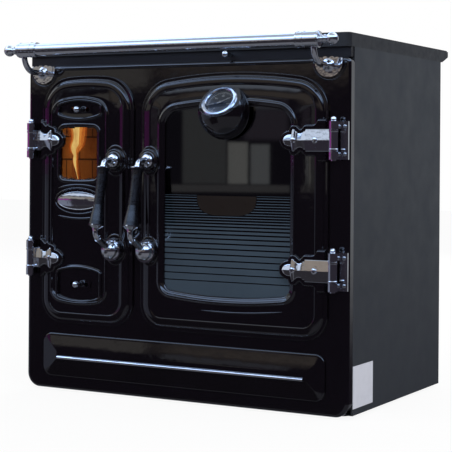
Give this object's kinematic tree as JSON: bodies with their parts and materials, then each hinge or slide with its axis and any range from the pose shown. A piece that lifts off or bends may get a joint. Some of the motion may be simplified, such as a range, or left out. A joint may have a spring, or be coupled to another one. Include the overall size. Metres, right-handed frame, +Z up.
{
  "type": "wood-burning cookstove",
  "caption": "Black enamelled wood-burning range cooker with glazed firebox and oven doors, chrome strap hinges, a full-width drawer and a front rail.",
  "frame": {"origin": "centre of the bounding box's footprint, on the floor under the feet", "axes": "+X to the right seen from the front, +Y to the back, +Z up; the doors face -Y"},
  "size_m": [0.908, 0.746, 0.87],
  "materials": {
    "black_enamel": "gloss vitreous enamel",
    "dark_sheet": "satin paint",
    "hob_iron": "ground and blacked",
    "chrome": "polished",
    "zinc_steel": "zinc plated",
    "stove_steel": "heat darkened",
    "grate_iron": "raw cast",
    "firebrick": "matt",
    "oven_enamel": "grey enamel",
    "tinted_glass": "clear with a blue grey print",
    "fire_glass": "clear ceramic glass",
    "clear_glass": "clear",
    "rope_seal": "woven glass rope",
    "grip_black": "gloss",
    "label": "matt, bare",
    "dial": "matt print",
    "needle": "matt"
  },
  "bodies": {
    "casing": {"base_pan": "dark_sheet", "feet": "zinc_steel", "side_panel_left": "dark_sheet", "side_panel_right": "dark_sheet", "back_panel": "dark_sheet", "front_casting": "black_enamel", "fascia": "black_enamel", "hob_frame": "hob_iron", "hob_plate": "hob_iron", "firebox_shell": "stove_steel", "firebricks": "firebrick", "fire_grate": "grate_iron", "ash_pan": "zinc_steel", "oven_box": "oven_enamel", "oven_rack": "chrome", "smoke_box": "stove_steel", "flue_collar": "grate_iron", "hinge_leaves": "chrome", "hinge_pins": "chrome", "leaf_screws": "zinc_steel", "catch_blocks": "zinc_steel", "drawer_runners": "zinc_steel", "rail_tube": "chrome", "rail_brackets": "chrome", "rail_finials": "chrome", "rating_plate": "label"},
    "firebox_door": {"firebox_door": "black_enamel", "firebox_glass": "fire_glass", "firebox_glass_clips": "zinc_steel", "firebox_gasket": "rope_seal", "firebox_straps": "chrome", "firebox_strap_screws": "chrome", "badge_plate": "chrome", "firebox_handle": "chrome", "firebox_grip": "grip_black"},
    "air_upper": {"air_slide_upper": "black_enamel", "air_knob_upper": "chrome"},
    "air_lower": {"air_slide_lower": "black_enamel", "air_knob_lower": "chrome"},
    "oven_door": {"oven_door": "black_enamel", "oven_glass": "tinted_glass", "oven_glass_inner": "clear_glass", "oven_glass_clips": "zinc_steel", "oven_gasket": "rope_seal", "oven_straps": "chrome", "oven_strap_screws": "chrome", "oven_handle": "chrome", "oven_grip": "grip_black", "thermometer_housing": "black_enamel", "thermometer_bezel": "chrome", "thermometer_dial": "dial"},
    "needle": {"thermometer_needle": "needle"},
    "drawer": {"drawer_front": "black_enamel", "drawer_box": "oven_enamel", "drawer_strip": "chrome"},
    "damper": {"damper_rod": "zinc_steel", "damper_knob": "chrome"},
    "hob_ring": {"hob_ring": "hob_iron"},
    "hob_lid": {"hob_lid": "hob_iron"}
  },
  "joints": [
    {"name": "firebox_door_hinge", "type": "hinge", "parent": "casing", "child": "firebox_door", "pos_m": [-0.417, -0.28699, 0.48], "axis": [0, 0, -1], "range_deg": [0, 110]},
    {"name": "oven_door_hinge", "type": "hinge", "parent": "casing", "child": "oven_door", "pos_m": [0.417, -0.28699, 0.48], "axis": [0, 0, 1], "range_deg": [0, 110]},
    {"name": "drawer_slide", "type": "slide", "parent": "casing", "child": "drawer", "axis": [0, -1, 0], "range_m": [0, 0.35]},
    {"name": "air_upper_slide", "type": "slide", "parent": "firebox_door", "child": "air_upper", "axis": [1, 0, 0], "range_m": [-0.009, 0.009]},
    {"name": "air_lower_slide", "type": "slide", "parent": "firebox_door", "child": "air_lower", "axis": [1, 0, 0], "range_m": [-0.009, 0.009]},
    {"name": "damper_slide", "type": "slide", "parent": "casing", "child": "damper", "axis": [0, -1, 0], "range_m": [0, 0.056]},
    {"name": "thermometer_needle_turn", "type": "hinge", "parent": "oven_door", "child": "needle", "pos_m": [0.134, -0.30149, 0.717], "axis": [0, 0.766, -0.6428], "range_deg": [-150, 30]},
    {"name": "hob_ring_lift", "type": "slide", "parent": "casing", "child": "hob_ring", "axis": [0, 0, 1], "range_m": [0, 0.06]},
    {"name": "hob_lid_lift", "type": "slide", "parent": "hob_ring", "child": "hob_lid", "axis": [0, 0, 1], "range_m": [0, 0.06]}
  ]
}
